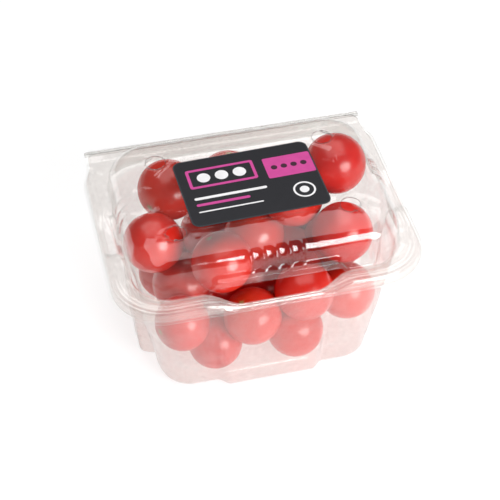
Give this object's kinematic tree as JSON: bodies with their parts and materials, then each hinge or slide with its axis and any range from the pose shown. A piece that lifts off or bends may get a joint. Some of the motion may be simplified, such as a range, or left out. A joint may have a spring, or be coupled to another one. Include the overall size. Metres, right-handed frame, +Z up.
{
  "type": "hinged punnet of cherry tomatoes",
  "caption": "Clear hinged plastic punnet of red cherry tomatoes, with a lobed tapered tray, a domed vented lid and a plain sticker on the lid.",
  "frame": {"origin": "middle of the footprint, on the plane the tray stands on", "axes": "+X along the length of the punnet, to the right seen from the front; +Y to the hinge at the back; +Z up"},
  "size_m": [0.146, 0.117, 0.089],
  "materials": {
    "tray_plastic": "clear thermoformed plastic, slightly hazy",
    "lid_plastic": "clear thermoformed plastic, glossy",
    "label_print": "satin printed film, charcoal with magenta shapes",
    "tomato_skin": "smooth waxy red skin"
  },
  "bodies": {
    "tray": {"tray": "tray_plastic", "tomatoes": "tomato_skin"},
    "lid": {"lid": "lid_plastic", "label": "label_print"}
  },
  "joints": [
    {"name": "lid_hinge", "type": "hinge", "parent": "tray", "child": "lid", "pos_m": [0, 0.0587, 0.0694], "axis": [-1, 0, 0], "range_deg": [0, 180]}
  ]
}
